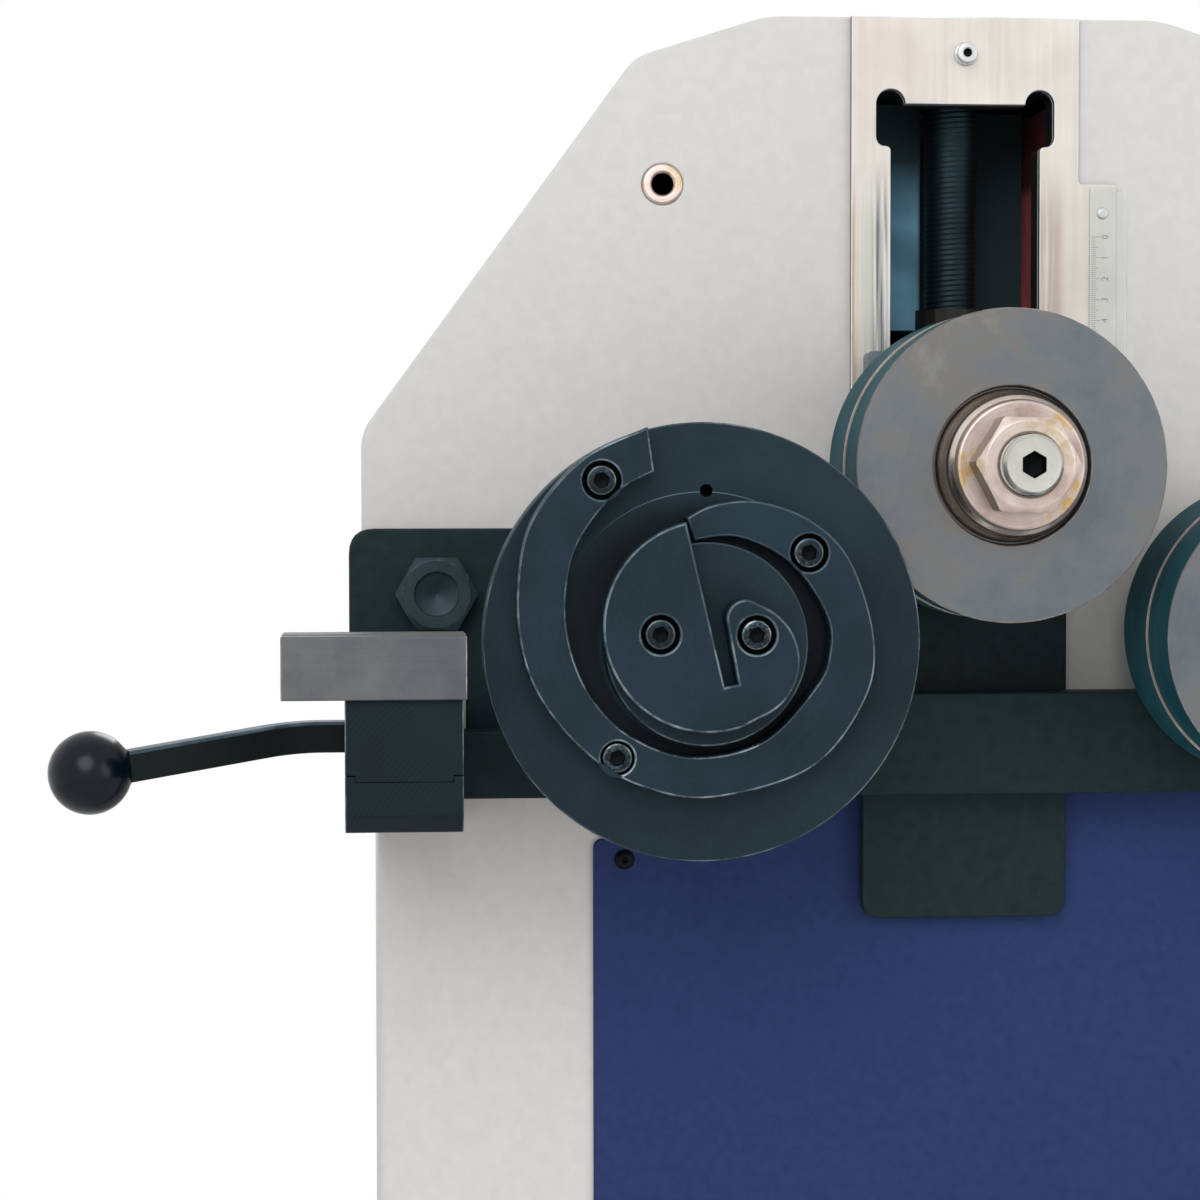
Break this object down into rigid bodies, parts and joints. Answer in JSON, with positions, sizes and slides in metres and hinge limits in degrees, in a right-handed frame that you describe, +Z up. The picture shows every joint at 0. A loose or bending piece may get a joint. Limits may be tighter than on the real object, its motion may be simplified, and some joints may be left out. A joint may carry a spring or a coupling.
{
  "type": "ring roller",
  "caption": "Floor-standing powered ring roller with a roller on a screw-driven carriage, driven lower shafts, and a scroll bending tool with a sliding rod guide and clamp lever.",
  "frame": {"origin": "on the floor, under the middle of the cabinet", "axes": "+Z up; -Y towards the operator, who faces the rollers; +X to the operator's right"},
  "size_m": [0.7461, 0.72, 1.29],
  "materials": {
    "grey_paint": "fine textured powder coat",
    "blue_paint": "satin powder coat",
    "dark_paint": "satin dark green-black",
    "zinc_plate": "zinc plated, worn by sliding",
    "passivated_zinc": "yellow passivated zinc",
    "roller_steel": "turned and hardened, mottled",
    "black_steel": "blackened, worn at the edges",
    "milled_steel": "milled",
    "ground_steel": "ground",
    "red_primer": "matt primer",
    "bronze": "turned",
    "black_plastic": "polished",
    "motor_paint": "satin",
    "light_paint": "textured",
    "rule_steel": "satin with printed marks"
  },
  "bodies": {
    "root": {"base_plate": "grey_paint", "cabinet_shell": "grey_paint", "deck_plate": "grey_paint", "front_panel": "blue_paint", "panel_screw_left": "black_steel", "panel_screw_right": "black_steel", "control_box": "light_paint", "head_front_plate": "grey_paint", "head_rear_plate": "milled_steel", "head_shell": "grey_paint", "head_back_cover": "grey_paint", "accessory_bush_left": "passivated_zinc", "accessory_bush_right": "passivated_zinc", "slide_plate": "zinc_plate", "slide_plate_bolt": "zinc_plate", "travel_ruler": "rule_steel", "carriage_rail_left": "red_primer", "carriage_rail_right": "red_primer", "spindle_top_block": "black_steel", "carrier_plate": "dark_paint", "carrier_bar": "dark_paint", "carrier_bolt_left": "dark_paint", "carrier_bolt_right": "dark_paint", "bearing_left_front": "ground_steel", "bearing_left_rear": "ground_steel", "bearing_right_front": "ground_steel", "bearing_right_rear": "ground_steel", "gearbox": "motor_paint", "drive_motor": "motor_paint"},
    "scroll": {"scroll_shaft": "ground_steel", "scroll_gear": "ground_steel", "scroll_disc": "black_steel", "scroll_band": "black_steel", "scroll_hook": "black_steel", "band_screw_1": "black_steel", "band_screw_2": "black_steel", "band_screw_3": "black_steel", "hook_screw_1": "black_steel", "hook_screw_2": "black_steel"},
    "lower_right": {"lower_right_shaft": "ground_steel", "lower_right_roller_inner": "roller_steel", "lower_right_roller_outer": "roller_steel", "lower_right_washer": "passivated_zinc", "lower_right_nut": "passivated_zinc", "lower_right_gear": "ground_steel"},
    "pinion": {"drive_pinion": "ground_steel"},
    "carriage": {"carriage": "black_steel", "spindle_nut": "bronze"},
    "spindle": {"lift_spindle": "black_steel"},
    "top_roller": {"upper_shaft": "ground_steel", "upper_roller_inner": "roller_steel", "upper_roller_outer": "roller_steel", "upper_washer": "passivated_zinc", "upper_nut": "passivated_zinc"},
    "guide": {"guide_post": "black_steel", "guide_jaw": "black_steel", "guide_block": "milled_steel"},
    "lever": {"clamp_lever": "black_steel", "lever_knob": "black_plastic"}
  },
  "joints": [
    {"name": "scroll_turn", "type": "hinge", "parent": "root", "child": "scroll", "pos_m": [-0.1405, -0.28, 0.999], "axis": [0, 1, 0], "continuous": true},
    {"name": "lower_right_turn", "type": "hinge", "parent": "root", "child": "lower_right", "pos_m": [0.1405, -0.28, 0.999], "axis": [0, 1, 0], "continuous": true},
    {"name": "pinion_turn", "type": "hinge", "parent": "root", "child": "pinion", "pos_m": [0, -0.28, 1.05153], "axis": [0, 1, 0], "continuous": true},
    {"name": "carriage_slide", "type": "slide", "parent": "root", "child": "carriage", "axis": [0, 0, 1], "range_m": [-0.025, 0.015]},
    {"name": "spindle_turn", "type": "hinge", "parent": "root", "child": "spindle", "pos_m": [0, -0.247, 1.2], "axis": [0, 0, 1], "range_deg": [-1085, 1805]},
    {"name": "top_roller_turn", "type": "hinge", "parent": "carriage", "child": "top_roller", "pos_m": [0, -0.28, 1.0757], "axis": [0, 1, 0], "continuous": true},
    {"name": "guide_slide", "type": "slide", "parent": "root", "child": "guide", "axis": [1, 0, 0], "range_m": [-0.025, 0.004]},
    {"name": "lever_turn", "type": "hinge", "parent": "guide", "child": "lever", "pos_m": [-0.272, -0.28, 0.9555], "axis": [0, 1, 0], "range_deg": [0, 70]}
  ],
  "couplings": [
    {"joint": "lower_right_turn", "follows": "scroll_turn", "ratio": 1},
    {"joint": "pinion_turn", "follows": "scroll_turn", "ratio": -1.9412},
    {"joint": "spindle_turn", "follows": "carriage_slide", "rad_per_m": -1256.6}
  ]
}
